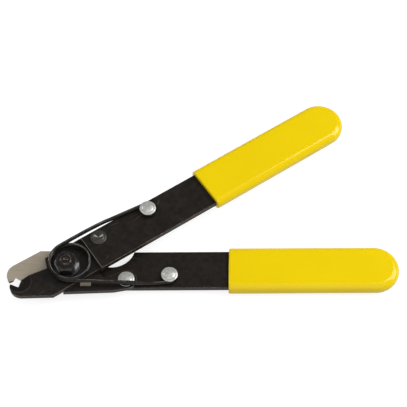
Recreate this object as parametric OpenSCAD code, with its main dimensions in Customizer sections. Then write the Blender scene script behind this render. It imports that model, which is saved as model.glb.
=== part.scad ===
// Fibre stripper: two flat steel handles cross at a hexagon-headed pivot screw.
// Each carries a riveted blade with a V notch, a torsion spring pushes the
// handles apart, and a dipped grip covers the end of each.
//
// The lower handle lies along +X. The origin is on the pivot's axis, on the
// surface that the tool lies on. The layers are, from below: screw head, lower
// bar, lower blade, upper blade, upper bar. The upper handle's pieces are drawn
// along +X as well, then turned about the pivot by open_angle.

/* [Handles] */
// Angle between the two handles at rest
open_angle = 33.5; // [30:0.5:38]
// Width of each steel bar
bar_w = 13.5; // [12.5:0.1:14.5]
// Thickness of each steel bar
bar_t = 1.8; // [1.4:0.1:2.4]
// Distance from the pivot to the end of the upper grip
upper_reach = 110.7; // [100:0.1:125]
// Distance from the pivot to the end of the lower grip
lower_reach = 109.8; // [100:0.1:125]
// How far the upper bar's centre line lies inside the pivot
upper_shift = 1.0; // [0.6:0.1:1.2]
// How far the lower bar's centre line lies inside the pivot
lower_shift = 0.3; // [0:0.1:0.6]
// Radius of the relief cut in the lower bar's inner edge
relief_r = 7.8; // [6.5:0.1:9]
// Depth of the relief cut
relief_depth = 5.7; // [4:0.1:6.2]
// Distance from the pivot to the middle of the relief cut
relief_x = 14.3; // [13:0.1:16]

/* [Grips] */
// Width of each grip
grip_w = 16.4; // [15.5:0.1:18]
// Thickness of each grip
grip_t = 5.0; // [4.6:0.1:6]
// Length of each grip
grip_len = 56.4; // [45:0.1:65]
// Radius along a grip's long edges
grip_edge_r = 2.2; // [1.2:0.1:2.2]
// Clearance between a grip and the bar inside it
grip_gap = 0.05; // [0.02:0.01:0.1]

/* [Blades] */
// Thickness of each blade
blade_t = 1.6; // [1.2:0.1:2]
// Width of the blade stock round the pivot
blade_w = 13.5; // [12.8:0.1:14]
// Distance from the pivot to the tip of the jaw
jaw_reach = 19.8; // [18:0.1:22]
// Radius of the jaw's nose
nose_r = 4.0; // [3.6:0.1:4.2]
// Angle at which the cutting edge rises from its heel to the nose
edge_rise = 9.5; // [8:0.1:11]
// Depth of the upper jaw's V notch below its cutting edge
upper_notch_depth = 2.1; // [1.5:0.05:2.3]
// Depth of the lower jaw's V notch below its cutting edge
lower_notch_depth = 1.7; // [1.2:0.05:2.2]
// How far each jaw's tip is set back from its cutting edge, beyond the notch
tip_relief = 0.6; // [0.3:0.05:0.9]
// Angle between the two sides of the V notch
notch_angle = 90; // [75:1:100]
// Distance from the tip of the jaw to the middle of the notch
notch_inset = 3.25; // [3:0.05:3.8]
// Radius of the conical bevel round the notch, at the blade's outer face
bevel_r = 3.75; // [3:0.05:4]
// Thickness of the land that the bevel leaves at the mating face
bevel_land = 0.3; // [0.2:0.05:0.6]
// Distance from the pivot to the square end of the lower blade's stock
stock_end = 9.0; // [8:0.1:9.5]
// How far the lower blade's shoulder stands out past its stock
wing_out = 1.95; // [1:0.05:2.4]

/* [Pivot] */
// Diameter of the screw's shank
screw_d = 4; // [3.4:0.1:4.6]
// Size of the screw's head and of the nut across their flats
hex_af = 7; // [6.4:0.1:7.3]
// Thickness of the screw's head
head_t = 1.6; // [1.6:0.1:2.4]
// Height of the nut
nut_h = 3.2; // [2.4:0.1:4]
// Thickness of the washer
washer_t = 0.6; // [0.4:0.1:1]
// How far the screw's end stands out of the nut
stud_out = 1.0; // [0.6:0.1:2]

/* [Rivets] */
// Diameter of a rivet's shank
rivet_d = 3.2; // [2.6:0.1:3.6]
// Diameter of a rivet's head
rivet_head_d = 5.4; // [4.8:0.1:5.8]
// Height of a rivet's head
rivet_head_h = 0.8; // [0.6:0.05:1.1]
// Height of a rivet's upset tail
tail_h = 0.7; // [0.5:0.05:0.8]
// Distance from the pivot to the upper blade's front rivet
upper_front_x = 13.9; // [13:0.1:15]
// Distance from the pivot to the lower blade's front rivet
lower_front_x = 19.45; // [18.5:0.05:21]
// Distance from the pivot to the spring's post on the upper bar
upper_post_x = 33.1; // [31:0.1:36]
// Distance from the pivot to the spring's post on the lower bar
lower_post_x = 33.6; // [32:0.1:36]
// Clearance between a shank and its hole
hole_gap = 0.05; // [0.02:0.01:0.1]

/* [Spring] */
// Diameter of the spring's wire
wire_d = 1.3; // [1:0.05:1.4]
// Radius of the coil, to the middle of the wire
coil_r = 6.55; // [6.4:0.05:7.2]
// Clearance between two turns of the coil
turn_gap = 0.03; // [0.02:0.01:0.1]
// Clearance between the wire and what it lies on or hooks round
wire_gap = 0.08; // [0.05:0.01:0.15]
// Clearance between the coil and the pieces beside it
coil_room = 0.2; // [0.15:0.01:0.4]

/* [Hidden] */
$fn = 96;
over = 1;                                        // overshoot of every cut

// Heights of the layers' undersides
lower_bar_z = max(head_t, (grip_t - bar_t) / 2);
lower_blade_z = lower_bar_z + bar_t;
upper_blade_z = lower_blade_z + blade_t;
upper_bar_z = upper_blade_z + blade_t;
upper_top_z = upper_bar_z + bar_t;

// Rivet places, each in its own handle's frame
upper_front = [upper_front_x, 2.7];
upper_post = [upper_post_x, 2.4];
lower_front = [lower_front_x, -4.0];
lower_post = [lower_post_x, -2.3];

// Tangs: the ends of the blades round their last rivets
upper_tang_r = rivet_head_d / 2 + 0.5;
lower_tang_r = rivet_head_d / 2 + 0.7;
upper_stock_end = stock_end + 1;
tang_inner_y = -4.75;
wing_x = -1.0;
wing_end = [15.3, -8.15];

// Jaw, drawn with its cutting edge towards +Y
heel = [-5.9, 3.1];
shoulder_x = -4.55;
back_x = -9.3;
nose_y = 2.1;
nose = [nose_r - jaw_reach, nose_y];
upper_notch_lean = 5;
lower_notch_lean = -4;
edge_way = [-cos(edge_rise), sin(edge_rise)];
edge_out = [sin(edge_rise), cos(edge_rise)];
notch_way = (jaw_reach - notch_inset + heel.x) / cos(edge_rise);
bevel_inset = 4.2;
bevel_sink = 1.1;
bevel_tip_r = 1.2;
bevel_way = (jaw_reach - bevel_inset + heel.x) / cos(edge_rise);

// Spring
coil = [1.1, 0.9];
coil_sweep = 540 - open_angle;
coil_low_z = upper_bar_z + wire_d / 2 + wire_gap;
coil_pitch = max(wire_d + turn_gap, bar_t * 360 / coil_sweep);
leg_high_z = coil_low_z + coil_pitch * coil_sweep / 360;
leg_low_z = lower_blade_z + wire_d / 2 + wire_gap;
hook_r = rivet_d / 2 + wire_d / 2 + wire_gap;
hook_wrap = 200;
upper_post_h = leg_high_z + wire_d / 2 + wire_gap - upper_top_z;
lower_post_h = leg_low_z + wire_d / 2 + wire_gap - lower_blade_z;
coil_in_upper = turned(coil, -open_angle);

// What the coil leaves room for
upper_bar_start = coil_in_upper.x + coil_r + wire_d / 2 + coil_room;
washer_r = coil_r - wire_d / 2 - norm(coil) - coil_room;

// ---------------------------------------------------------------- helpers

function turned(p, a) = [p.x * cos(a) - p.y * sin(a), p.x * sin(a) + p.y * cos(a)];
function edge_at(way) = heel + way * edge_way;

// Where a line from p touches a circle: side is 1 for its left side, -1 for its right
function touch(p, centre, r, side) =
    let (to = centre - p, a = atan2(to.y, to.x) + side * asin(r / norm(to)))
    p + sqrt(to * to - r * r) * [cos(a), sin(a)];

module in_upper_handle() {
    rotate([0, 0, open_angle]) children();
}

module hole(at, d) {
    translate([at.x, at.y, -over])
        cylinder(d = d + 2 * hole_gap, h = bar_t + blade_t + 2 * over);
}

// ------------------------------------------------------------------- bars

// Plan of a bar from start to the round end that the grip covers
module bar_plan(start, shift, reach) {
    end = reach - grip_w / 2;
    translate([start, shift - bar_w / 2]) square([end - start, bar_w]);
    translate([end, shift]) circle(d = bar_w);
}

module upper_bar() {
    color([0.13, 0.11, 0.10])
        in_upper_handle()
        translate([0, 0, upper_bar_z])
        difference() {
            linear_extrude(bar_t) bar_plan(upper_bar_start, -upper_shift, upper_reach);
            hole(upper_front, rivet_d);
            hole(upper_post, rivet_d);
        }
}

module lower_bar() {
    color([0.13, 0.11, 0.10])
        translate([0, 0, lower_bar_z])
        difference() {
            linear_extrude(bar_t) {
                bar_plan(0, lower_shift, lower_reach);
                translate([0, lower_shift]) circle(d = bar_w);
            }
            translate([relief_x, lower_shift + bar_w / 2 - relief_depth + relief_r, -over])
                cylinder(r = relief_r, h = bar_t + 2 * over);
            hole([0, 0], screw_d);
            hole(lower_front, rivet_d);
            hole(lower_post, rivet_d);
        }
}

// ------------------------------------------------------------------ grips

// Section of a grip with rounded edges, about its middle
module grip_section() {
    square([grip_w - 2 * grip_edge_r, grip_t], center = true);
    square([grip_w, grip_t - 2 * grip_edge_r], center = true);
    for (x = [-1, 1], y = [-1, 1])
        translate([x * (grip_w / 2 - grip_edge_r), y * (grip_t / 2 - grip_edge_r)])
            circle(grip_edge_r);
}

// A dipped grip: straight sides, a half-round end and a pocket for the bar
module grip(shift, reach) {
    end = reach - grip_w / 2;
    start = reach - grip_len;
    translate([0, shift, 0])
        difference() {
            union() {
                translate([start, 0, 0])
                    rotate([90, 0, 90])
                    linear_extrude(end - start) grip_section();
                translate([end, 0, 0])
                    rotate([0, 0, -90])
                    rotate_extrude(angle = 180)
                    intersection() {
                        grip_section();
                        translate([0, -grip_t]) square([grip_w, 2 * grip_t]);
                    }
            }
            translate([0, 0, -bar_t / 2 - grip_gap])
                linear_extrude(bar_t + 2 * grip_gap) {
                    translate([start - over, -bar_w / 2 - grip_gap])
                        square([end - start + over, bar_w + 2 * grip_gap]);
                    translate([end, 0]) circle(d = bar_w + 2 * grip_gap);
                }
        }
}

module upper_grip() {
    color([0.98, 0.87, 0.05])
        in_upper_handle()
        translate([0, 0, upper_bar_z + bar_t / 2])
        grip(-upper_shift, upper_reach);
}

module lower_grip() {
    color([0.98, 0.87, 0.05])
        translate([0, 0, lower_bar_z + bar_t / 2])
        grip(lower_shift, lower_reach);
}

// ----------------------------------------------------------------- blades

// The half plane inside the cutting edge
module inside_edge() {
    polygon([
        heel, edge_at(jaw_reach),
        edge_at(jaw_reach) - jaw_reach * edge_out, heel - jaw_reach * edge_out
    ]);
}

// The V notch, square to the cutting edge
module notch_plan(depth, lean) {
    tall = depth + over;
    half = tall * tan(notch_angle / 2);
    translate(edge_at(notch_way) - depth * edge_out)
        rotate(lean - edge_rise)
        polygon([[0, 0], [half, tall], [-half, tall]]);
    translate(edge_at(notch_way))
        rotate(-edge_rise)
        translate([-2 * nose_r, -tip_relief])
        square([2 * nose_r, tip_relief + over]);
}

// The jaw and the stock round the pivot, out to end
module jaw_plan(end, notch_depth, notch_lean) {
    back = [back_x, -blade_w / 2];
    nose_way = (nose - heel) * edge_way;
    difference() {
        union() {
            polygon([
                heel, edge_at(nose_way), nose, touch(back, nose, nose_r, 1), back,
                [end, -blade_w / 2], [end, blade_w / 2], [shoulder_x, blade_w / 2]
            ]);
            intersection() {
                translate(nose) circle(nose_r);
                inside_edge();
            }
        }
        notch_plan(notch_depth, notch_lean);
    }
}

// The conical bevel that thins the jaw round its notch, cut from the outer face
module notch_bevel() {
    at = edge_at(bevel_way) - bevel_sink * edge_out;
    deep = blade_t - bevel_land;
    slope = (bevel_r - bevel_tip_r) / deep;
    translate([at.x, at.y, bevel_land])
        cylinder(r1 = bevel_tip_r, r2 = bevel_r + slope * over, h = deep + over);
}

// A tang that narrows from two corners of the stock to a round end at a rivet.
// Its sides cross the round end a little inside its edge.
module tang_plan(left, right, rivet, r) {
    inner = r - 0.05;
    polygon([left, right, touch(right, rivet, inner, -1), rivet, touch(left, rivet, inner, 1)]);
    translate(rivet) circle(r);
}

module upper_blade() {
    color([0.17, 0.15, 0.14])
        in_upper_handle()
        translate([0, 0, upper_blade_z])
        difference() {
            linear_extrude(blade_t) {
                jaw_plan(upper_stock_end, upper_notch_depth, upper_notch_lean);
                tang_plan([upper_stock_end, blade_w / 2], [upper_stock_end, -blade_w / 2],
                    upper_post, upper_tang_r);
            }
            notch_bevel();
            hole([0, 0], screw_d);
            hole(upper_front, rivet_d);
            hole(upper_post, rivet_d);
        }
}

module lower_blade() {
    wing = [wing_x, -blade_w / 2 - wing_out];
    color([0.62, 0.60, 0.55])
        translate([0, 0, lower_blade_z])
        difference() {
            linear_extrude(blade_t) {
                mirror([0, 1]) jaw_plan(stock_end, lower_notch_depth, lower_notch_lean);
                polygon([[wing_x, 0], wing, wing_end, [stock_end, 0]]);
                tang_plan([stock_end, tang_inner_y], wing_end, lower_front, lower_tang_r);
            }
            translate([0, 0, blade_t]) mirror([0, 0, 1]) mirror([0, 1, 0]) notch_bevel();
            hole([0, 0], screw_d);
            hole(lower_front, rivet_d);
        }
}

// ----------------------------------------------------------------- rivets

// A rivet whose shank runs from bottom to top, with a domed head above it
// and an upset tail below
module rivet(at, bottom, top) {
    head_r = rivet_head_d / 2;
    rim = rivet_head_h * 0.4;
    cap = rivet_head_h - rim;
    dome_r = (head_r * head_r + cap * cap) / (2 * cap);
    tail_r = rivet_d / 2 + 0.6;
    translate([at.x, at.y, bottom]) {
        cylinder(d = rivet_d, h = top - bottom);
        translate([0, 0, -tail_h]) cylinder(r1 = tail_r - tail_h / 2, r2 = tail_r, h = tail_h);
        translate([0, 0, top - bottom]) {
            cylinder(r = head_r, h = rim);
            translate([0, 0, rim])
                intersection() {
                    translate([0, 0, cap - dome_r]) sphere(dome_r);
                    cylinder(r = head_r + over, h = cap + over);
                }
        }
    }
}

module upper_front_rivet() {
    color([0.24, 0.22, 0.20])
        in_upper_handle() rivet(upper_front, upper_blade_z, upper_top_z);
}

module upper_post_rivet() {
    color([0.80, 0.80, 0.78])
        in_upper_handle() rivet(upper_post, upper_blade_z, upper_top_z + upper_post_h);
}

module lower_front_rivet() {
    color([0.80, 0.80, 0.78]) rivet(lower_front, lower_bar_z, upper_blade_z);
}

module lower_post_rivet() {
    color([0.80, 0.80, 0.78]) rivet(lower_post, lower_bar_z, lower_blade_z + lower_post_h);
}

// ------------------------------------------------------------------ pivot

module hexagon(h) {
    cylinder(d = hex_af / cos(30), h = h, $fn = 6);
}

module pivot_screw() {
    top = upper_bar_z + washer_t + nut_h + stud_out;
    tip = 0.4;
    color([0.16, 0.14, 0.13])
        difference() {
            union() {
                translate([0, 0, lower_bar_z - head_t]) hexagon(head_t);
                translate([0, 0, lower_bar_z]) cylinder(d = screw_d, h = top - tip - lower_bar_z);
                translate([0, 0, top - tip])
                    cylinder(d1 = screw_d, d2 = screw_d - 2 * tip, h = tip);
            }
            translate([0, 0, top - tip])
                cylinder(d1 = 0.4, d2 = screw_d / 2, h = tip + over / 10);
        }
}

module pivot_washer() {
    color([0.15, 0.13, 0.12])
        translate([0, 0, upper_bar_z])
        difference() {
            cylinder(r = washer_r, h = washer_t);
            translate([0, 0, -over]) cylinder(d = screw_d + 2 * hole_gap, h = washer_t + 2 * over);
        }
}

module pivot_nut() {
    corner_r = hex_af / 2 / cos(30);
    flat_r = hex_af / 2 - 0.15;
    crown = (corner_r - flat_r) * tan(30) * 2;
    color([0.20, 0.18, 0.17])
        translate([0, 0, upper_bar_z + washer_t])
        difference() {
            intersection() {
                hexagon(nut_h);
                union() {
                    cylinder(r = corner_r + over, h = nut_h - crown);
                    translate([0, 0, nut_h - crown])
                        cylinder(r1 = corner_r, r2 = flat_r, h = crown);
                }
            }
            translate([0, 0, -over]) cylinder(d = screw_d + 2 * hole_gap, h = nut_h + 2 * over);
        }
}

// ----------------------------------------------------------------- spring

// Points round a post at height z
function hook(post, from, sweep, z) =
    let (steps = 8)
    [for (i = [0:steps]) let (a = from + sweep * i / steps)
        [post.x + hook_r * cos(a), post.y + hook_r * sin(a), z]];

// The lower leg runs from its hook over the front rivet's head, then level to the coil
lower_rise = [lower_front.x - 0.45, lower_front.y - 2.0,
    upper_blade_z + rivet_head_h + wire_d / 2 + wire_gap];
lower_touch = touch([lower_rise.x, lower_rise.y], lower_post, hook_r, -1);
landing = 0.3;                                   // share of the leg that lies on the bar
lower_aim = atan2(lower_touch.y - lower_rise.y, lower_touch.x - lower_rise.x) - 90;
lower_land = [
    lower_touch.x + landing * (lower_rise.x - lower_touch.x),
    lower_touch.y + landing * (lower_rise.y - lower_touch.y), leg_low_z
];
lower_level = [7, coil.y - coil_r, coil_low_z];
lower_leg = concat(
    hook(lower_post, lower_aim + hook_wrap, -hook_wrap, leg_low_z),
    [lower_land, lower_rise, lower_level]
);

// The coil climbs clockwise from the bottom to where the upper leg leaves it
coil_steps = ceil(coil_sweep / 12);
coil_turns = [for (i = [0:coil_steps]) let (share = i / coil_steps, a = -90 - coil_sweep * share)
    [coil.x + coil_r * cos(a), coil.y + coil_r * sin(a),
        coil_low_z + (leg_high_z - coil_low_z) * share]];

// The upper leg runs beside the bar, then bends in to hook round its post
upper_bend = [19, coil_in_upper.y + coil_r];
upper_touch = touch(upper_bend, upper_post, hook_r, 1);
upper_aim = atan2(upper_touch.y - upper_bend.y, upper_touch.x - upper_bend.x) + 90;
upper_leg = [for (p = concat(
        [[upper_bend.x, upper_bend.y, leg_high_z]],
        hook(upper_post, upper_aim, -hook_wrap, leg_high_z)))
    let (q = turned([p.x, p.y], open_angle)) [q.x, q.y, p.z]];

// A round wire along a list of points, none of them straight above the last
module wire(path, sides) {
    last = len(path) - 1;
    rings = [for (i = [0:last])
        let (
            ahead = path[min(i + 1, last)] - path[max(i - 1, 0)],
            side = cross(ahead, [0, 0, 1]) / norm(cross(ahead, [0, 0, 1])),
            up = cross(side, ahead) / norm(cross(side, ahead)))
        for (k = [0:sides - 1])
            path[i] + wire_d / 2 * (cos(k * 360 / sides) * side + sin(k * 360 / sides) * up)];
    walls = [for (i = [0:last - 1], k = [0:sides - 1])
        let (a = i * sides + k, b = i * sides + (k + 1) % sides)
        [a, b, b + sides, a + sides]];
    polyhedron(rings, concat(
        walls,
        [[for (k = [0:sides - 1]) sides - 1 - k]],
        [[for (k = [0:sides - 1]) last * sides + k]]
    ));
}

module torsion_spring() {
    color([0.14, 0.12, 0.11]) wire(concat(lower_leg, coil_turns, upper_leg), 12);
}

lower_bar();
lower_blade();
lower_grip();
lower_front_rivet();
lower_post_rivet();
upper_bar();
upper_blade();
upper_grip();
upper_front_rivet();
upper_post_rivet();
pivot_screw();
pivot_washer();
pivot_nut();
torsion_spring();
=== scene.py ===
"""Looks for a fibre stripper: black steel handles on a hex pivot, V-notched blades, a torsion
spring hooked to two posts and yellow dipped grips. Everything is in metres, in the part's frame:
+X along the lower handle, +Z along the pivot screw."""
import math

import bmesh
import bpy
from mathutils import Matrix, Quaternion, Vector


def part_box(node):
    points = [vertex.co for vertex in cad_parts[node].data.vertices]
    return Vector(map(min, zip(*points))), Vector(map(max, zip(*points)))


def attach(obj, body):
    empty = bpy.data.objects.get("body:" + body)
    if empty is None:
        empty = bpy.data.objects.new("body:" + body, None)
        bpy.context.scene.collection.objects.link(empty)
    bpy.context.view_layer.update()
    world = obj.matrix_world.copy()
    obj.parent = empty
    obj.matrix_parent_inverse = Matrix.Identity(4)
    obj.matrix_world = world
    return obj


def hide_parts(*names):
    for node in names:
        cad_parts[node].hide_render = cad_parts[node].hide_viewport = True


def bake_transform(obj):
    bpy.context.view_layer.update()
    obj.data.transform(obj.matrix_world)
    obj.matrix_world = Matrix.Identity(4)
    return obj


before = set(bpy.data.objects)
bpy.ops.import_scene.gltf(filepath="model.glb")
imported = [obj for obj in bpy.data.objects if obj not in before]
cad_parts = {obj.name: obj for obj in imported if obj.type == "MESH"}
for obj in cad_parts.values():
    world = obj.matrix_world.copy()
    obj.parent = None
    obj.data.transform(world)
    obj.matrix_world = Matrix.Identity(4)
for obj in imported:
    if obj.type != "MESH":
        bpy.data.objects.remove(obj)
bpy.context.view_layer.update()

# ---------------------------------------------------------------- bench and light
# The tool lies on a plain white table under broad soft lamps, seen from above and a little
# from the front. The table's paint glows wherever it is seen, in a mirror too, so that it
# stays white, and takes the tool's shadow as any paint does.
MM = 0.001
table_half_side = 25.0
table_below = 0.05 * MM
table_grey = 0.38
table_glow = 0.78
sky_strength = 0.20


def made_piece(name, bm):
    """A finished bmesh as an object of its own."""
    piece = bpy.data.objects.new(name, bpy.data.meshes.new(name))
    bpy.context.collection.objects.link(piece)
    bm.to_mesh(piece.data)
    bm.free()
    return piece


def maths(tree, operation, *values):
    """One Math node on sockets or numbers."""
    node = tree.nodes.new("ShaderNodeMath")
    node.operation = operation
    for slot, value in zip(node.inputs, values):
        if isinstance(value, (int, float)):
            slot.default_value = value
        else:
            tree.links.new(value, slot)
    return node.outputs[0]


bm = bmesh.new()
bmesh.ops.create_grid(bm, x_segments=1, y_segments=1, size=table_half_side)
bmesh.ops.translate(bm, vec=(0, 0, -table_below), verts=bm.verts)
table = made_piece("table", bm)
table_paint = bpy.data.materials.new("table_paint")
table_paint.use_nodes = True
tree = table_paint.node_tree
tree.nodes.clear()
out = tree.nodes.new("ShaderNodeOutputMaterial")
both = tree.nodes.new("ShaderNodeAddShader")
paint = tree.nodes.new("ShaderNodeBsdfDiffuse")
paint.inputs["Color"].default_value = (table_grey, table_grey, table_grey, 1)
glow = tree.nodes.new("ShaderNodeEmission")
rays = tree.nodes.new("ShaderNodeLightPath").outputs
seen = maths(tree, "MAXIMUM", rays["Is Camera Ray"], rays["Is Glossy Ray"])
seen = maths(tree, "MAXIMUM", seen, rays["Is Transmission Ray"])
tree.links.new(maths(tree, "MULTIPLY", seen, table_glow), glow.inputs["Strength"])
tree.links.new(paint.outputs[0], both.inputs[0])
tree.links.new(glow.outputs[0], both.inputs[1])
tree.links.new(both.outputs[0], out.inputs["Surface"])
table.data.materials.append(table_paint)

world = bpy.data.worlds.new("studio")
world.use_nodes = True
sky = world.node_tree.nodes["Background"]
sky.inputs["Color"].default_value = (1, 1, 1, 1)
sky.inputs["Strength"].default_value = sky_strength
bpy.context.scene.world = world
bpy.context.scene.view_settings.view_transform = "Standard"


lamps_aim = Vector((0.05, 0.03, 0.0))


def lamp(name, place, width, depth, watts, roll=0.0):
    """A soft rectangle of light that faces the tool, rolled about its own aim."""
    light = bpy.data.lights.new(name, "AREA")
    light.shape = "RECTANGLE"
    light.size = width
    light.size_y = depth
    light.energy = watts
    holder = bpy.data.objects.new(name, light)
    bpy.context.collection.objects.link(holder)
    holder.location = place
    aimed = (lamps_aim - Vector(place)).to_track_quat("-Z", "Y")
    holder.rotation_euler = (aimed @ Quaternion((0, 0, 1), roll)).to_euler()


lamp("top_softbox", (0.03, -0.17, 0.70), width=1.10, depth=0.90, watts=1.75)
lamp("right_window", (0.578, 0.157, 0.491), width=0.34, depth=0.70, watts=4.6,
     roll=math.radians(-34))
lamp("back_left_strip", (-0.55, 0.34, 0.26), width=0.12, depth=0.34, watts=1.3)
lamp("front_fill", (-0.05, -0.62, 0.36), width=1.20, depth=0.70, watts=2.5)

camera_data = bpy.data.cameras.new("camera")
camera_data.lens = 106.14
camera_data.sensor_width = 36.0
camera = bpy.data.objects.new("camera", camera_data)
bpy.context.collection.objects.link(camera)
camera_place = (0.041706, -0.193324, 0.350949)
sight = Vector((0.00811, 0.53405, -0.84542)).normalized()
rightward = Vector((0.99996, -0.00823, 0.00439))
rightward = (rightward - rightward.dot(sight) * sight).normalized()
turn = Matrix((rightward, rightward.cross(sight), -sight)).transposed()
camera.matrix_world = Matrix.Translation(camera_place) @ turn.to_4x4()
bpy.context.scene.camera = camera

# ------------------------------------------------------------------- handle bars
# Each handle is a flat bar stamped from cold-rolled strip and blacked. The black is a thin
# satin oxide with a brown cast, rubbed through to brown along its corners.


def group(name, inputs, outputs):
    """An empty node group with its sockets, and its two end nodes."""
    made = bpy.data.node_groups.new(name, "ShaderNodeTree")
    for kind, label, value in inputs:
        socket = made.interface.new_socket(label, in_out="INPUT", socket_type=kind)
        socket.default_value = value
    for kind, label in outputs:
        made.interface.new_socket(label, in_out="OUTPUT", socket_type=kind)
    return made, made.nodes.new("NodeGroupInput"), made.nodes.new("NodeGroupOutput")


def spot_on(tree):
    """The place on the tool, in the part's frame."""
    return tree.nodes.new("ShaderNodeTexCoord").outputs["Object"]


def normal(tree, kind="True Normal"):
    """The way the surface faces."""
    return tree.nodes.new("ShaderNodeNewGeometry").outputs[kind]


def xyz(tree, vector):
    """The X, Y and Z of a vector."""
    split = tree.nodes.new("ShaderNodeSeparateXYZ")
    tree.links.new(vector, split.inputs[0])
    return split.outputs


def dot(tree, vector):
    """A dot product with its first vector set and its second still free."""
    node = tree.nodes.new("ShaderNodeVectorMath")
    node.operation = "DOT_PRODUCT"
    tree.links.new(vector, node.inputs[0])
    return node


def mapped_noise(tree, vector, scale, detail, stretch=(1, 1, 1), angle=0.0):
    """Noise on a vector that is turned by angle about Z and stretched."""
    mapping = tree.nodes.new("ShaderNodeMapping")
    mapping.inputs["Rotation"].default_value = (0, 0, angle)
    mapping.inputs["Scale"].default_value = stretch
    tree.links.new(vector, mapping.inputs["Vector"])
    noise = tree.nodes.new("ShaderNodeTexNoise")
    noise.inputs["Scale"].default_value = scale
    noise.inputs["Detail"].default_value = detail
    tree.links.new(mapping.outputs[0], noise.inputs["Vector"])
    return noise.outputs["Fac"]


def ramp(tree, value, low, high):
    """value spread from 0 at low to 1 at high."""
    spread = tree.nodes.new("ShaderNodeMapRange")
    spread.inputs["From Min"].default_value = low
    spread.inputs["From Max"].default_value = high
    tree.links.new(value, spread.inputs["Value"])
    return spread.outputs["Result"]


def mixed(tree, share, first, second):
    """A colour between two, each a socket or an (r, g, b)."""
    node = tree.nodes.new("ShaderNodeMix")
    node.data_type = "RGBA"
    tree.links.new(share, node.inputs[0])
    for slot, value in ((node.inputs[6], first), (node.inputs[7], second)):
        if isinstance(value, tuple):
            slot.default_value = (*value, 1)
        else:
            tree.links.new(value, slot)
    return node.outputs[2]


# Where corners are rubbed bright: the rounded normal leaves the true one near an edge
rubbed, ends_in, ends_out = group(
    "rubbed_corners",
    [("NodeSocketFloat", "Width", 0.0003), ("NodeSocketFloat", "Breakup", 0.5)],
    [("NodeSocketFloat", "Mask"), ("NodeSocketVector", "Normal")],
)
rounding = rubbed.nodes.new("ShaderNodeBevel")
rounding.samples = 8
rubbed.links.new(ends_in.outputs["Width"], rounding.inputs["Radius"])
agreement = dot(rubbed, rounding.outputs[0])
rubbed.links.new(normal(rubbed), agreement.inputs[1])
edge = ramp(rubbed, agreement.outputs["Value"], 0.985, 0.80)
patchy = ramp(rubbed, mapped_noise(rubbed, spot_on(rubbed), 900, 3), 0.40, 0.62)
kept = maths(rubbed, "ADD", maths(rubbed, "MULTIPLY", patchy, ends_in.outputs["Breakup"]),
             maths(rubbed, "SUBTRACT", 1.0, ends_in.outputs["Breakup"]))
rubbed.links.new(maths(rubbed, "MULTIPLY", edge, kept), ends_out.inputs["Mask"])
rubbed.links.new(rounding.outputs[0], ends_out.inputs["Normal"])

# Rolled strip: faint streaks along the length, blotches, and the odd fine scratch
strip, ends_in, ends_out = group(
    "rolled_strip",
    [("NodeSocketFloat", "Angle", 0.0)],
    [("NodeSocketFloat", "Blotch"), ("NodeSocketFloat", "Streak"), ("NodeSocketFloat", "Scratch"),
     ("NodeSocketFloat", "Height")],
)
swing = strip.nodes.new("ShaderNodeVectorRotate")
swing.rotation_type = "Z_AXIS"
strip.links.new(spot_on(strip), swing.inputs["Vector"])
strip.links.new(maths(strip, "MULTIPLY", ends_in.outputs["Angle"], -1.0), swing.inputs["Angle"])
along = swing.outputs[0]
blotch = maths(strip, "ADD", maths(strip, "MULTIPLY", mapped_noise(strip, along, 110, 2), 0.35),
               maths(strip, "MULTIPLY", mapped_noise(strip, along, 650, 5), 0.65))
streak = mapped_noise(strip, along, 900, 3, stretch=(0.06, 1, 1))
scratch = 0.0
for slant, spacing in ((0.5, 60), (-0.35, 75), (1.35, 50)):
    lines = mapped_noise(strip, along, spacing, 1, stretch=(0.22, 1, 1), angle=slant)
    from_line = maths(strip, "ABSOLUTE", maths(strip, "SUBTRACT", lines, 0.5))
    thin = ramp(strip, from_line, 0.0022, 0.0004)
    gaps = ramp(strip, mapped_noise(strip, along, 90 + spacing, 1), 0.58, 0.68)
    scratch = maths(strip, "MAXIMUM", scratch, maths(strip, "MULTIPLY", thin, gaps))
grit = mapped_noise(strip, along, 4200, 2)
height = maths(strip, "ADD", maths(strip, "MULTIPLY", streak, 0.6),
               maths(strip, "MULTIPLY", grit, 0.4))
strip.links.new(blotch, ends_out.inputs["Blotch"])
strip.links.new(streak, ends_out.inputs["Streak"])
strip.links.new(scratch, ends_out.inputs["Scratch"])
strip.links.new(height, ends_out.inputs["Height"])


def material(name):
    """A new material, its tree and its one Principled shader."""
    made = bpy.data.materials.new(name)
    made.use_nodes = True
    return made, made.node_tree, made.node_tree.nodes["Principled BSDF"]


def placed(tree, source, **values):
    """A node group placed in a material, with its inputs set."""
    node = tree.nodes.new("ShaderNodeGroup")
    node.node_tree = source
    for label, value in values.items():
        node.inputs[label].default_value = value
    return node


def bump(tree, height, depth, strength, under=None):
    """A Bump node on a height, over another normal if there is one."""
    node = tree.nodes.new("ShaderNodeBump")
    node.inputs["Distance"].default_value = depth
    node.inputs["Strength"].default_value = strength
    tree.links.new(height, node.inputs["Height"])
    if under is not None:
        tree.links.new(under, node.inputs["Normal"])
    return node.outputs[0]


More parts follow.
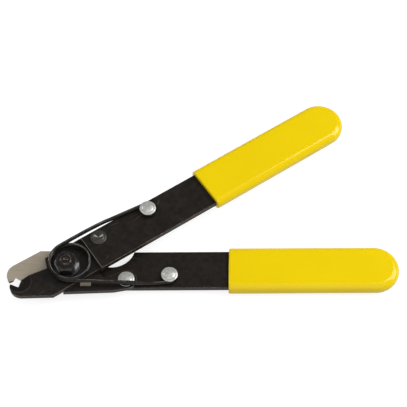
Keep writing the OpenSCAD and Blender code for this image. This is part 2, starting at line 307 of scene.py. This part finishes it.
def blacked_steel(name, dark, light, worn, side, angle, wear, rough, mark=None):
    """Blacked strip steel rolled along angle. Its sides are lightened with painted light, and a
    bevel is dull and darkened with painted shade. mark is a painted highlight line on its top: a
    function that says how far a place is from it, its half width and its colour."""
    made, tree, shader = material(name)
    grain = placed(tree, strip, Angle=angle)
    rub = placed(tree, rubbed, Width=0.45 * MM, Breakup=0.7)
    upright = xyz(tree, normal(tree))["Z"]
    wall = maths(tree, "LESS_THAN", maths(tree, "ABSOLUTE", upright), 0.5)
    bevelled = maths(tree, "MULTIPLY", maths(tree, "GREATER_THAN", upright, 0.5),
                     maths(tree, "LESS_THAN", upright, 0.95))
    base = mixed(tree, ramp(tree, grain.outputs["Blotch"], 0.38, 0.62), dark, light)
    base = mixed(tree, maths(tree, "MULTIPLY", grain.outputs["Streak"], 0.35), base, light)
    # Painted light: every side wall is lightened towards side.
    base = mixed(tree, maths(tree, "MULTIPLY", wall, 0.30), base, side)
    # Painted shade: faces that slope between top and side, as in a bevel, are darkened.
    base = mixed(tree, maths(tree, "MULTIPLY", bevelled, 0.75), base, painted_bevel_shade)
    base = mixed(tree, maths(tree, "MULTIPLY", grain.outputs["Scratch"], 0.28), base, worn)
    base = mixed(tree, maths(tree, "MULTIPLY", rub.outputs["Mask"], wear), base, worn)
    if mark:
        distance_from, half_width, shade = mark
        swing = tree.nodes.new("ShaderNodeMapping")
        swing.inputs["Rotation"].default_value = (0, 0, -angle)
        tree.links.new(spot_on(tree), swing.inputs["Vector"])
        off = distance_from(tree, xyz(tree, swing.outputs[0]))
        on = ramp(tree, maths(tree, "ABSOLUTE", off), half_width, half_width * 0.3)
        level = maths(tree, "GREATER_THAN", upright, 0.9)
        broken = ramp(tree, grain.outputs["Blotch"], 0.30, 0.52)
        on = maths(tree, "MULTIPLY", maths(tree, "MULTIPLY", on, level), broken)
        base = mixed(tree, on, base, shade)
    tree.links.new(base, shader.inputs["Base Color"])
    rougher = maths(tree, "MULTIPLY_ADD", grain.outputs["Blotch"], 0.16, rough - 0.08)
    rougher = maths(tree, "ADD", rougher, maths(tree, "MULTIPLY", bevelled, 0.40))
    tree.links.new(rougher, shader.inputs["Roughness"])
    shader.inputs["Specular IOR Level"].default_value = 0.17
    tree.links.new(bump(tree, grain.outputs["Height"], 0.02 * MM, 0.5, rub.outputs["Normal"]),
                   shader.inputs["Normal"])
    return made


def dress(node, made):
    """Gives a CAD node its finish."""
    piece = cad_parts[node]
    piece.data.materials.clear()
    piece.data.materials.append(made)


def centre(node):
    """The middle of a CAD node, seen from above."""
    low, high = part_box(node)
    return Vector(((low.x + high.x) / 2, (low.y + high.y) / 2))


def from_front_edge(tree, spot):
    """How far a place is from the front edge of the upper bar, where a painted highlight runs."""
    return maths(tree, "SUBTRACT", spot["X"], bar_front_x)


# The upper post stands 33.1 mm along its bar and 2.4 mm to its left
opening = math.atan2(*centre("upper_post_rivet").yx) - math.atan2(2.4, 33.1)
bar_front_x = 8.9 * MM
painted_bevel_shade = (0.003, 0.0025, 0.002)
soot = (0.0064, 0.0049, 0.0040)
sable = (0.0165, 0.0128, 0.0100)
brown_wear = (0.30, 0.225, 0.155)
painted_wall_light = (0.032, 0.026, 0.021)
painted_edge_highlight = (0.14, 0.134, 0.125)
lower_bar_black = blacked_steel("lower_bar_black", soot, sable, brown_wear, painted_wall_light,
                                angle=0.0, wear=0.55, rough=0.42)
# The upper bar has a painted highlight: a light grey line along its front edge.
upper_bar_black = blacked_steel("upper_bar_black", soot, sable, brown_wear, painted_wall_light,
                                angle=opening, wear=0.9, rough=0.42,
                                mark=(from_front_edge, 0.17 * MM, painted_edge_highlight))
dress("lower_bar", lower_bar_black)
dress("upper_bar", upper_bar_black)

# ------------------------------------------------------------------------ blades
# The blades are hardened strip, blacked all over and then ground flat where they slide on
# each other. The upper one shows its blacked back, the lower one its ground face.
bevel_x, bevel_y, bevel_r = -15.8 * MM, 3.6 * MM, 3.78 * MM


def from_bevel_rim(tree, spot):
    """How far a place is from the rim of the bevel round the upper blade's notch."""
    beside = maths(tree, "POWER", maths(tree, "SUBTRACT", spot["X"], bevel_x), 2.0)
    above = maths(tree, "POWER", maths(tree, "SUBTRACT", spot["Y"], bevel_y), 2.0)
    away = maths(tree, "SQRT", maths(tree, "ADD", beside, above))
    return maths(tree, "SUBTRACT", away, bevel_r)


# The upper blade has a painted highlight: a faint light line round the rim of its bevel.
upper_blade_black = blacked_steel(
    "upper_blade_black", dark=(0.0075, 0.0060, 0.0050), light=(0.018, 0.0145, 0.012),
    worn=(0.26, 0.215, 0.17), side=(0.030, 0.025, 0.021), angle=opening, wear=0.7, rough=0.40,
    mark=(from_bevel_rim, 0.14 * MM, (0.075, 0.065, 0.055)))
dress("upper_blade", upper_blade_black)

# The lower blade is bare on its jaw and in a small window beside the coil
jaw_ends_x = -1.0 * MM
window_x = (4.5 * MM, 8.0 * MM)
window_y = (-6.45 * MM, -5.1 * MM)
window_share = 0.85
ground_dull, ground_pale = (0.325, 0.280, 0.217), (0.405, 0.352, 0.277)
ground_haze = (0.345, 0.292, 0.218)
ground_steel, tree, shader = material("ground_blade")
spot = xyz(tree, spot_on(tree))
blade_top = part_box("lower_blade")[1].z
on_top = maths(tree, "MULTIPLY", maths(tree, "GREATER_THAN", xyz(tree, normal(tree))["Z"], 0.9),
               maths(tree, "GREATER_THAN", spot["Z"], blade_top - 0.05 * MM))
waver = maths(tree, "MULTIPLY_ADD", mapped_noise(tree, spot_on(tree), 500, 3),
              0.6 * MM, -0.3 * MM)
wavering_x = maths(tree, "ADD", spot["X"], waver)
wavering_y = maths(tree, "ADD", spot["Y"], waver)
jaw = maths(tree, "LESS_THAN", wavering_x, jaw_ends_x)
window = 1.0
for value, (low, high) in ((wavering_x, window_x), (wavering_y, window_y)):
    window = maths(tree, "MULTIPLY", window, maths(tree, "GREATER_THAN", value, low))
    window = maths(tree, "MULTIPLY", window, maths(tree, "LESS_THAN", value, high))
swept = maths(tree, "MAXIMUM", jaw, maths(tree, "MULTIPLY", window, window_share))
ground = maths(tree, "MULTIPLY", on_top, swept)
lines = mapped_noise(tree, spot_on(tree), 2600, 3, stretch=(0.05, 1, 1), angle=0.9)
haze = mapped_noise(tree, spot_on(tree), 220, 3)
bare = mixed(tree, ramp(tree, lines, 0.3, 0.7), ground_dull, ground_pale)
bare = mixed(tree, ramp(tree, haze, 0.45, 0.75), bare, ground_haze)
grain = placed(tree, strip, Angle=0.0)
rub = placed(tree, rubbed, Width=0.2 * MM, Breakup=0.6)
black = mixed(tree, ramp(tree, grain.outputs["Blotch"], 0.35, 0.65), soot, sable)
black = mixed(tree, maths(tree, "MULTIPLY", rub.outputs["Mask"], 0.8), black, brown_wear)
tree.links.new(mixed(tree, ground, black, bare), shader.inputs["Base Color"])
tree.links.new(maths(tree, "MULTIPLY", ground, 0.25), shader.inputs["Metallic"])
tree.links.new(maths(tree, "MULTIPLY_ADD", lines, 0.12, 0.36), shader.inputs["Roughness"])
shader.inputs["Specular IOR Level"].default_value = 0.25
tree.links.new(bump(tree, lines, 0.02 * MM, 0.4, rub.outputs["Normal"]), shader.inputs["Normal"])
dress("lower_blade", ground_steel)

# ------------------------------------------------------------------------ rivets
# Four round-headed rivets. Three are plated and have gone satin, the one that holds the upper
# blade was blacked with its bar and has bright marks from the riveting tool.
groove_r, rim_r = 2.0 * MM, 2.5 * MM
tool_mark_degrees = (148, 36)
plate_pale, plate_dull = (0.67, 0.675, 0.635), (0.45, 0.445, 0.41)
painted_wire_shadow = (0.016, 0.013, 0.011)


def tool_marks(tree, place, radius):
    """Two wedges pressed into the back of the head, narrowing towards its middle."""
    spot = xyz(tree, place)
    raised = maths(tree, "ADD", spot["Y"], 0.45 * MM)
    bearing = maths(tree, "ARCTAN2", raised, spot["X"])
    reached = maths(tree, "MULTIPLY", ramp(tree, radius, 1.9 * MM, 1.2 * MM),
                    maths(tree, "GREATER_THAN", raised, 0.05 * MM))
    for degrees in tool_mark_degrees:
        off = maths(tree, "ABSOLUTE", maths(tree, "SUBTRACT", bearing, math.radians(degrees)))
        yield maths(tree, "MULTIPLY", ramp(tree, off, 0.30, 0.14), reached)


def shadow_under_wire(tree, place, radius):
    """The front of the head under the wire, darkened with a painted shadow of the wire. Its rim
    is left out of the painted shadow on the left."""
    spot = xyz(tree, place)
    under = ramp(tree, spot["Y"], -1.25 * MM, -1.5 * MM)
    inside = ramp(tree, radius, 2.68 * MM, 2.60 * MM)
    left = ramp(tree, spot["X"], 1.4 * MM, 0.9 * MM)
    unshaded = maths(tree, "MULTIPLY", maths(tree, "SUBTRACT", 1.0, inside), left)
    return maths(tree, "MULTIPLY", under, maths(tree, "SUBTRACT", 1.0, unshaded))


def rivet_finish(name, node, pale, dull, rough, metal, tool_shade=None, wire_shaded=False):
    """A spun head with a groove inside its rim."""
    made, tree, shader = material(name)
    centred = tree.nodes.new("ShaderNodeMapping")
    centred.inputs["Location"].default_value = (*-centre(node), 0)
    tree.links.new(spot_on(tree), centred.inputs["Vector"])
    flat = tree.nodes.new("ShaderNodeVectorMath")
    flat.operation = "MULTIPLY"
    flat.inputs[1].default_value = (1, 1, 0)
    tree.links.new(centred.outputs[0], flat.inputs[0])
    reach = tree.nodes.new("ShaderNodeVectorMath")
    reach.operation = "LENGTH"
    tree.links.new(flat.outputs[0], reach.inputs[0])
    radius = reach.outputs["Value"]
    mottle = mapped_noise(tree, centred.outputs[0], 1300, 4)
    off_groove = maths(tree, "ABSOLUTE", maths(tree, "SUBTRACT", radius, groove_r))
    groove = ramp(tree, off_groove, 0.30 * MM, 0.05 * MM)
    rim = ramp(tree, radius, rim_r - 0.4 * MM, rim_r)
    base = mixed(tree, ramp(tree, mottle, 0.35, 0.7), pale, dull)
    # Painted shade: the head is darkened towards dull in its groove and towards its rim.
    base = mixed(tree, maths(tree, "MULTIPLY", groove, 0.60), base, dull)
    base = mixed(tree, maths(tree, "MULTIPLY", rim, 0.25), base, dull)
    if tool_shade:
        for mark in tool_marks(tree, centred.outputs[0], radius):
            base = mixed(tree, mark, base, tool_shade)
    if wire_shaded:
        wire_shadow_mask = shadow_under_wire(tree, centred.outputs[0], radius)
        base = mixed(tree, wire_shadow_mask, base, painted_wire_shadow)
    tree.links.new(base, shader.inputs["Base Color"])
    shader.inputs["Metallic"].default_value = metal
    tree.links.new(maths(tree, "MULTIPLY_ADD", mottle, 0.14, rough - 0.07),
                   shader.inputs["Roughness"])
    rub = placed(tree, rubbed, Width=0.15 * MM, Breakup=0.3)
    height = maths(tree, "SUBTRACT", maths(tree, "MULTIPLY", mottle, 0.10), groove)
    tree.links.new(bump(tree, height, 0.12 * MM, 0.8, rub.outputs["Normal"]),
                   shader.inputs["Normal"])
    return made


# The lower front rivet gets a painted shadow of the spring wire across the front of its head.
for node in ("upper_post_rivet", "lower_post_rivet", "lower_front_rivet"):
    plate = rivet_finish(node + "_plate", node, plate_pale, plate_dull, rough=0.37, metal=0.6,
                         wire_shaded=node == "lower_front_rivet")
    dress(node, plate)
rivet_black = rivet_finish("upper_front_rivet_black", "upper_front_rivet",
                           pale=(0.022, 0.019, 0.016), dull=(0.040, 0.033, 0.026),
                           rough=0.34, metal=0.0, tool_shade=(0.32, 0.32, 0.31))
dress("upper_front_rivet", rivet_black)

# ------------------------------------------------------------------- pivot screw
# A hex-headed screw comes up from below through both blades, with a washer and a hex nut on
# top. All are blacked, bright on the nut's rubbed corners and brown on the screw's cut end.


def fastener(name, dark, worn, wear, rough, metal, highlit_flats=()):
    """Blacked steel with rubbed corners. Each flat listed gets a painted highlight in the worn
    colour: its bearing in degrees, how strong the highlight is, and how far towards the front it
    reaches."""
    made, tree, shader = material(name)
    mottle = mapped_noise(tree, spot_on(tree), 900, 4)
    rub = placed(tree, rubbed, Width=0.30 * MM, Breakup=0.45)
    base = mixed(tree, ramp(tree, mottle, 0.45, 0.75), dark, tuple(2.2 * c for c in dark))
    base = mixed(tree, maths(tree, "MULTIPLY", rub.outputs["Mask"], wear), base, worn)
    # Painted highlight: each listed flat is lightened towards the worn colour.
    for bearing, bare, front in highlit_flats:
        reached = ramp(tree, xyz(tree, spot_on(tree))["Y"], front - 0.4 * MM, front + 0.4 * MM)
        side = dot(tree, normal(tree))
        side.inputs[1].default_value = (math.cos(math.radians(bearing)),
                                        math.sin(math.radians(bearing)), 0)
        on = maths(tree, "MULTIPLY", maths(tree, "GREATER_THAN", side.outputs["Value"], 0.9),
                   maths(tree, "MULTIPLY", ramp(tree, mottle, 0.25, 0.5), bare))
        base = mixed(tree, maths(tree, "MULTIPLY", on, reached), base, worn)
    tree.links.new(base, shader.inputs["Base Color"])
    shader.inputs["Metallic"].default_value = metal
    tree.links.new(maths(tree, "MULTIPLY_ADD", mottle, 0.2, rough - 0.1),
                   shader.inputs["Roughness"])
    tree.links.new(bump(tree, mottle, 0.03 * MM, 0.4, rub.outputs["Normal"]),
                   shader.inputs["Normal"])
    return made


# The nut's two front flats carry a painted highlight.
nut_black = fastener("nut_black", dark=(0.018, 0.016, 0.015), worn=(0.80, 0.81, 0.82),
                     wear=0.22, rough=0.24, metal=0.4,
                     highlit_flats=((-30, 1.0, -1.9 * MM), (-150, 0.9, -3.2 * MM)))
washer_black = fastener("washer_black", dark=(0.008, 0.007, 0.006), worn=(0.06, 0.05, 0.045),
                        wear=0.6, rough=0.4, metal=0.0)
# The screw's rubbed corners, the ring round its cut end among them, are partly real wear and
# partly a painted highlight of that ring's glint.
screw_brown = fastener("screw_brown", dark=(0.017, 0.010, 0.007), worn=(0.46, 0.41, 0.36),
                       wear=0.9, rough=0.20, metal=0.35)
dress("pivot_nut", nut_black)
dress("pivot_washer", washer_black)
dress("pivot_screw", screw_brown)

# ---------------------------------------------------------------- torsion spring
# One piece of black music wire, with a painted highlight along its crest: a coil round the nut,
# a leg along each handle, and a hook at each end that lies round its post under the rivet's
# head. Its sizes are in millimetres.
wire_r = 0.65
coil_middle = Vector((1.1, 0.9))
coil_r = 6.55
coil_sweep = 3 * math.pi - opening
coil_steps = 128
low_z, high_z = 7.33, 9.2
hook_r = 2.33
hook_sweep = math.radians(200)
hook_steps = 24
lie_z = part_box("lower_bar")[1].z / MM + wire_r + 0.08


def touch(start, middle, radius, side):
    """Where a line from start touches a circle, on its left for side 1."""
    to = middle - start
    heading = math.atan2(to.y, to.x) + side * math.asin(radius / to.length)
    return start + math.sqrt(to.length ** 2 - radius ** 2) * Vector(
        (math.cos(heading), math.sin(heading)))


def arc(middle, radius, start, by, steps):
    """Points on a circle, from the bearing start on through the angle by."""
    return [middle + radius * Vector((math.cos(start + by * i / steps),
                                      math.sin(start + by * i / steps)))
            for i in range(steps + 1)]


# The lower hook and its leg lie on the lower bar, and climb past the front rivet to the coil.
# The leg's points are (share of the way to the rivet, height).
lower_post = centre("lower_post_rivet") / MM
beside_rivet = centre("lower_front_rivet") / MM + Vector((-0.45, -2.0))
lower_touch = touch(beside_rivet, lower_post, hook_r, -1)
lower_aim = math.atan2(*(lower_touch - beside_rivet).yx) - math.pi / 2
coil_front_y = coil_middle.y - coil_r
route = [(*p, lie_z) for p in arc(lower_post, hook_r, lower_aim + hook_sweep, -hook_sweep,
                                  hook_steps)]
for share, z in ((0.28, lie_z), (0.38, lie_z + 0.12), (0.92, 6.3), (1.0, 6.53)):
    route += [(*lower_touch.lerp(beside_rivet, share), z)]
route += [(13.0, coil_front_y - 0.17, 6.98), (7.0, coil_front_y, low_z)]

# The coil climbs as it turns, and the upper leg bows out a little on its way to its post. Its
# points are (share of the way to the bend, how far it bows out).
turns = arc(coil_middle, coil_r, -math.pi / 2, -coil_sweep, coil_steps)
route += [(*p, low_z + (high_z - low_z) * i / coil_steps) for i, p in enumerate(turns)]
outward = Vector((math.cos(opening), math.sin(opening)))
sideways = Vector((-outward.y, outward.x))
bend = 18.6 * outward + (coil_middle.dot(sideways) + coil_r - 0.3) * sideways
upper_post = centre("upper_post_rivet") / MM
upper_touch = touch(bend, upper_post, hook_r, 1)
upper_aim = math.atan2(*(upper_touch - bend).yx) + math.pi / 2
for share, bow in ((0.3, 0.14), (0.6, 0.20), (0.85, 0.12), (1.0, 0.0)):
    route += [(*(turns[-1].lerp(bend, share) + bow * sideways), high_z)]
route += [(*(bend.lerp(upper_touch, 0.12) - 0.04 * sideways), high_z)]
route += [(*p, high_z) for p in arc(upper_post, hook_r, upper_aim, -hook_sweep, hook_steps)]


def drawn_out(bm, rim):
    """An open rim extruded in place: its new corners, and its new rim."""
    grown = bmesh.ops.extrude_edge_only(bm, edges=rim)["geom"]
    return ([g for g in grown if isinstance(g, bmesh.types.BMVert)],
            [g for g in grown if isinstance(g, bmesh.types.BMEdge)])


# The wire is drawn along the route: its round end is extruded from point to point, and turned
# each time to face the next one
stops = [MM * Vector(spot) for spot in route]
runs = [(after - before).normalized() for before, after in zip(stops, stops[1:])]
facings = [(one + two).normalized() for one, two in zip(runs, runs[1:])]
facings = [runs[0], *facings, runs[-1]]
bm = bmesh.new()
bmesh.ops.create_circle(bm, cap_ends=True, radius=wire_r * MM, segments=16)
bmesh.ops.transform(bm, matrix=Vector((0, 0, 1)).rotation_difference(facings[0]).to_matrix(),
                    verts=bm.verts)
bmesh.ops.translate(bm, vec=stops[0], verts=bm.verts)
rim = list(bm.edges)
for before, after, facing_before, facing_after in zip(stops, stops[1:], facings, facings[1:]):
    fresh, rim = drawn_out(bm, rim)
    bmesh.ops.rotate(bm, cent=before, verts=fresh,
                     matrix=facing_before.rotation_difference(facing_after).to_matrix())
    bmesh.ops.translate(bm, vec=after - before, verts=fresh)
bmesh.ops.holes_fill(bm, edges=rim, sides=0)
bmesh.ops.recalc_face_normals(bm, faces=bm.faces)
wire = made_piece("spring_wire", bm)
wire.data.shade_smooth()

wire_dark, wire_pale = (0.0062, 0.0050, 0.0042), (0.0160, 0.0130, 0.0108)
painted_crest_highlight = (0.145, 0.138, 0.128)
spring_black, tree, shader = material("spring_black")
draw_marks = mapped_noise(tree, spot_on(tree), 1500, 3)
patches = ramp(tree, mapped_noise(tree, spot_on(tree), 330, 2), 0.30, 0.62)
# Painted highlight: the crest of the wire, where it faces up, is lightened towards the crest
# colour.
crest = maths(tree, "MULTIPLY", ramp(tree, xyz(tree, normal(tree, "Normal"))["Z"], 0.965, 0.995),
              patches)
base = mixed(tree, ramp(tree, draw_marks, 0.4, 0.75), wire_dark, wire_pale)
tree.links.new(mixed(tree, crest, base, painted_crest_highlight), shader.inputs["Base Color"])
tree.links.new(maths(tree, "MULTIPLY_ADD", draw_marks, 0.10, 0.08), shader.inputs["Roughness"])
shader.inputs["Specular IOR Level"].default_value = 0.22
wire.data.materials.append(spring_black)
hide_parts("torsion_spring")
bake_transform(wire)

# ------------------------------------------------------------------------- grips
# Each handle is dipped in yellow vinyl, which sets glossy and a little fat, with a soft lip
# where the dip stopped and a fully round end. Its sizes are in millimetres.
grip_w, grip_t, edge_r = 16.4, 5.0, 2.4
end_steps, barrel_rows = 56, 24
# Rows of the lip: how far back from the mouth, then its share of the width and thickness
lip_rows = ((0.8, 1.0, 1.0), (0.35, 0.998, 0.99), (0.15, 0.990, 0.965), (0.04, 0.975, 0.92),
            (0.0, 0.955, 0.85), (0.0, 0.90, 0.60), (0.10, 0.80, 0.30))
lip_clear = 1.6
mouth_reach, mouth_cup = 1.7, 0.10
vinyl_yellow, vinyl_deep = (0.785, 0.573, 0.0004), (0.762, 0.550, 0.0003)
vinyl, tree, shader = material("yellow_vinyl")
depth = mapped_noise(tree, spot_on(tree), 60, 2)
peel = mapped_noise(tree, spot_on(tree), 420, 2)
tree.links.new(mixed(tree, ramp(tree, depth, 0.35, 0.7), vinyl_yellow, vinyl_deep),
               shader.inputs["Base Color"])
tree.links.new(maths(tree, "MULTIPLY_ADD", peel, 0.05, 0.075), shader.inputs["Roughness"])
shader.inputs["Specular IOR Level"].default_value = 0.28
tree.links.new(bump(tree, peel, 0.04 * MM, 0.13), shader.inputs["Normal"])


def dipped_grip(name, node, body, reach, length, shift, angle, middle_z, slant):
    """A rounded section spun round the far end and drawn back to a soft lip at the mouth.
    reach is how far along the handle it ends, and slant how far the dip ran up its front."""
    end, mouth = reach - grip_w / 2, reach - length
    bm = bmesh.new()
    bmesh.ops.create_grid(bm, x_segments=1, y_segments=1, size=0.5)
    bmesh.ops.scale(bm, vec=(grip_w, grip_t, 1), verts=bm.verts)
    bmesh.ops.bevel(bm, geom=list(bm.verts), offset=edge_r, offset_type="OFFSET", segments=12,
                    profile=0.5, affect="VERTICES", material=-1)
    bmesh.ops.delete(bm, geom=list(bm.faces), context="FACES_ONLY")
    bmesh.ops.rotate(bm, matrix=Matrix.Rotation(math.pi / 2, 3, "X"), verts=bm.verts)
    bmesh.ops.rotate(bm, matrix=Matrix.Rotation(math.pi / 2, 3, "Z"), verts=bm.verts)
    bmesh.ops.bisect_plane(bm, geom=list(bm.verts) + list(bm.edges), plane_co=(0, 0, 0),
                           plane_no=(0, 1, 0), clear_outer=True)
    bmesh.ops.subdivide_edges(bm, edges=[e for e in bm.edges if e.calc_length() > 2], cuts=5)
    bmesh.ops.spin(bm, geom=list(bm.verts) + list(bm.edges), cent=(0, 0, 0), axis=(0, 0, 1),
                   angle=math.pi, steps=end_steps, use_merge=False, use_duplicate=False)
    bmesh.ops.remove_doubles(bm, verts=bm.verts, dist=1e-4)
    rim = [e for e in bm.edges if all(abs(v.co.x) < 1e-4 for v in e.verts)
           and not all(abs(v.co.y) < 1e-4 for v in e.verts)]
    barrel = [(-(end - mouth - lip_clear) * i / barrel_rows, 1, 1)
              for i in range(1, barrel_rows + 1)]
    lip = [(mouth - end + back, wide, tall) for back, wide, tall in lip_rows]
    along, wide, tall = 0.0, 1.0, 1.0
    for next_along, next_wide, next_tall in barrel + lip:
        fresh, rim = drawn_out(bm, rim)
        bmesh.ops.translate(bm, vec=(next_along - along, 0, 0), verts=fresh)
        bmesh.ops.scale(bm, vec=(1, next_wide / wide, next_tall / tall), verts=fresh)
        along, wide, tall = next_along, next_wide, next_tall
    for vert in bm.verts:
        from_mouth = vert.co.x - (mouth - end)
        if from_mouth < mouth_reach:
            near = 1 - from_mouth / mouth_reach
            aside = vert.co.y / (grip_w / 2)
            vert.co.x += near * (mouth_cup * abs(aside) ** 5 + slant * (aside - 1) / 2)
    bmesh.ops.holes_fill(bm, edges=rim, sides=0)
    bmesh.ops.recalc_face_normals(bm, faces=bm.faces)
    bmesh.ops.translate(bm, vec=(end, shift, middle_z), verts=bm.verts)
    bmesh.ops.rotate(bm, matrix=Matrix.Rotation(angle, 3, "Z"), verts=bm.verts)
    bmesh.ops.scale(bm, vec=(MM, MM, MM), verts=bm.verts)
    grip = made_piece(name, bm)
    grip.data.shade_smooth()
    grip.data.materials.append(vinyl)
    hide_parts(node)
    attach(grip, body)


dipped_grip("lower_dip", "lower_grip", "lower_handle", reach=109.8, length=56.4, shift=0.3,
            angle=0.0, middle_z=2.5, slant=0.5)
dipped_grip("upper_dip", "upper_grip", "upper_handle", reach=110.7, length=56.7, shift=-1.0,
            angle=opening, middle_z=7.5, slant=0.0)
